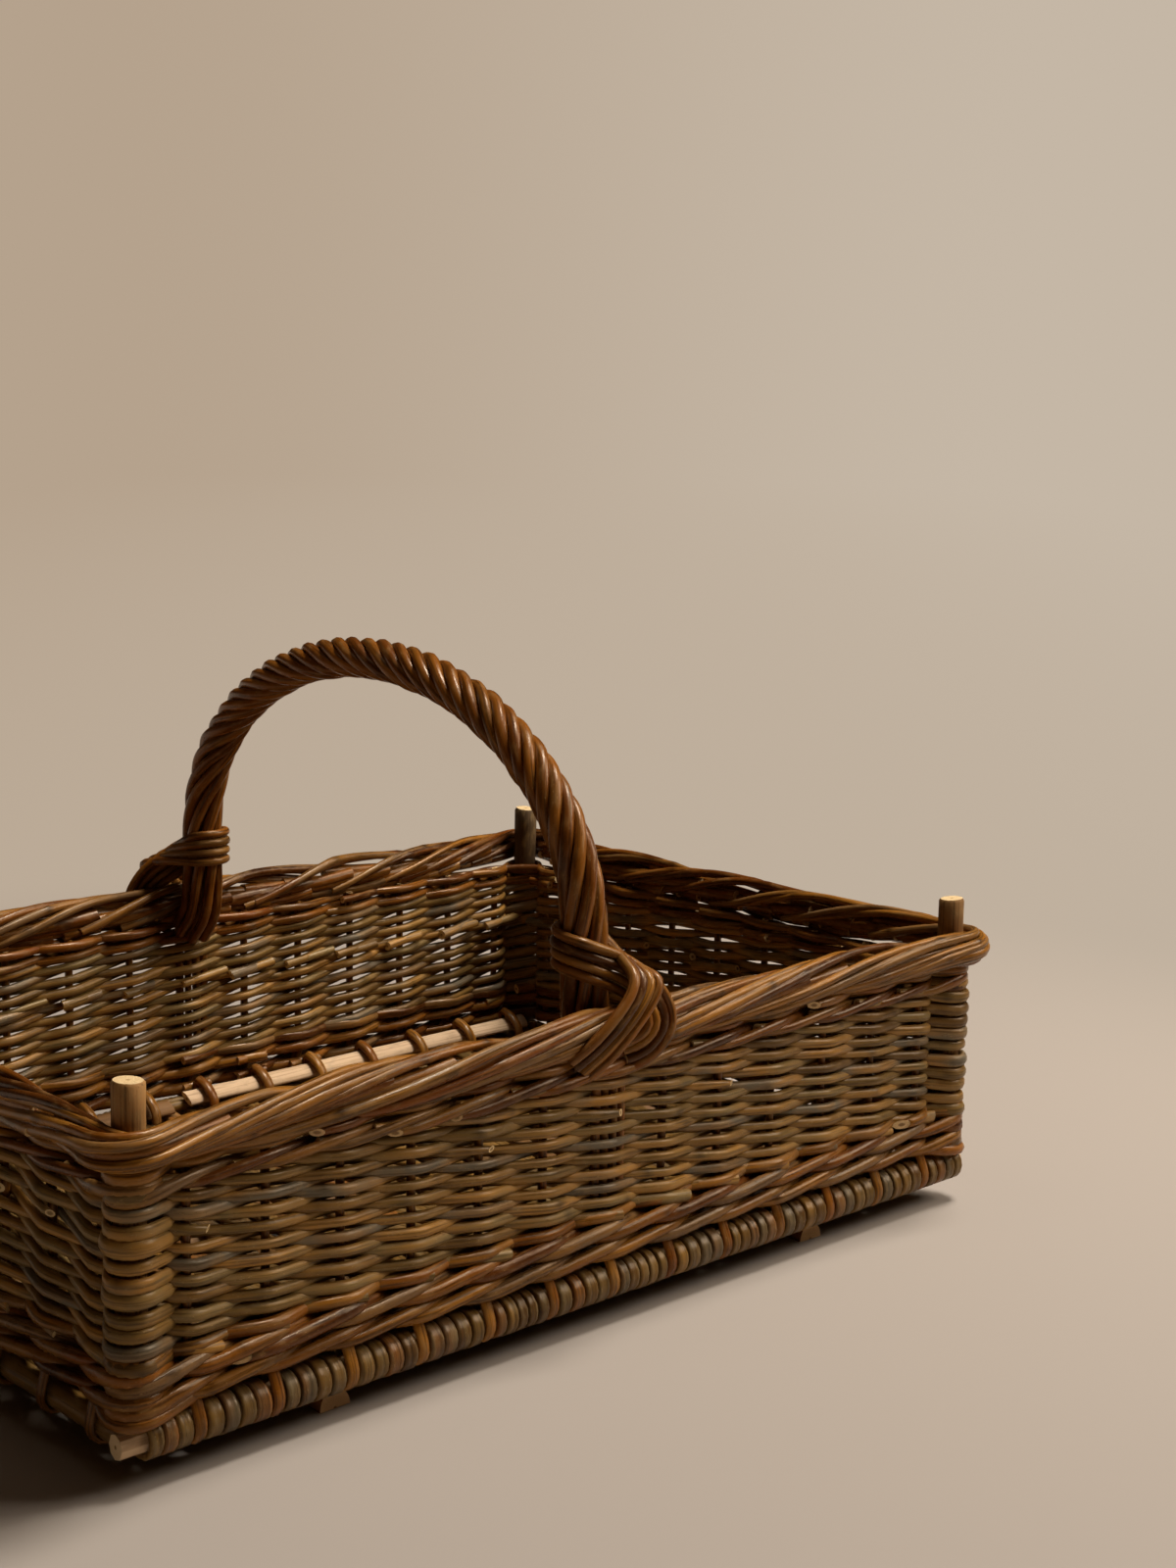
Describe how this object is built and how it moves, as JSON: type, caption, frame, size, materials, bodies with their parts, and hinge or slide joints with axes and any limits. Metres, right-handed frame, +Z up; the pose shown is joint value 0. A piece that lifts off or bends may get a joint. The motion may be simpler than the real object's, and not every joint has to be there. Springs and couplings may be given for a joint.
{
  "type": "garden basket",
  "caption": "Rectangular woven willow garden basket with corner posts, rolled border, runners under a slatted base and a fixed roped handle across the middle.",
  "frame": {"origin": "middle of the floor under the basket", "axes": "+X along the length, +Y to the back, +Z up"},
  "size_m": [0.5182, 0.3562, 0.2866],
  "materials": {
    "brown_willow": "steamed brown willow in its bark, softly glossy",
    "olive_willow": "dried green willow in its bark, olive to khaki, half matt",
    "peeled_willow": "peeled and cleft willow, pale and matt",
    "bark_post": "thick rod in rough bark with pale cut tops",
    "runner_willow": "cleft half-round rod, reddish and matt"
  },
  "bodies": {
    "root": {"left_runner": "runner_willow", "right_runner": "runner_willow", "front_rail": "peeled_willow", "back_rail": "peeled_willow", "left_end_stick": "olive_willow", "right_end_stick": "olive_willow", "floor_slat_1": "peeled_willow", "floor_slat_2": "peeled_willow", "floor_slat_3": "peeled_willow", "base_weaver": "olive_willow", "corner_post_front_left": "bark_post", "corner_post_front_right": "bark_post", "corner_post_back_right": "bark_post", "corner_post_back_left": "bark_post", "bottom_wale_rod_1": "brown_willow", "bottom_wale_rod_2": "brown_willow", "bottom_wale_rod_3": "brown_willow", "bottom_wale_rod_4": "brown_willow", "side_rod_1": "olive_willow", "side_rod_2": "olive_willow", "side_rod_3": "olive_willow", "side_rod_4": "olive_willow", "side_rod_5": "olive_willow", "side_rod_6": "olive_willow", "side_rod_7": "olive_willow", "side_rod_8": "olive_willow", "side_rod_9": "olive_willow", "top_wale_rod_1": "brown_willow", "top_wale_rod_2": "brown_willow", "top_wale_rod_3": "brown_willow", "border_rod_1": "brown_willow", "border_rod_2": "brown_willow", "border_rod_3": "brown_willow", "handle_bow": "brown_willow", "handle_rope_rod_1": "brown_willow", "handle_rope_rod_2": "brown_willow", "handle_rope_rod_3": "brown_willow", "handle_rope_rod_4": "brown_willow", "handle_rope_rod_5": "brown_willow", "handle_rope_rod_6": "brown_willow", "front_handle_binding": "brown_willow", "back_handle_binding": "brown_willow"}
  },
  "joints": []
}
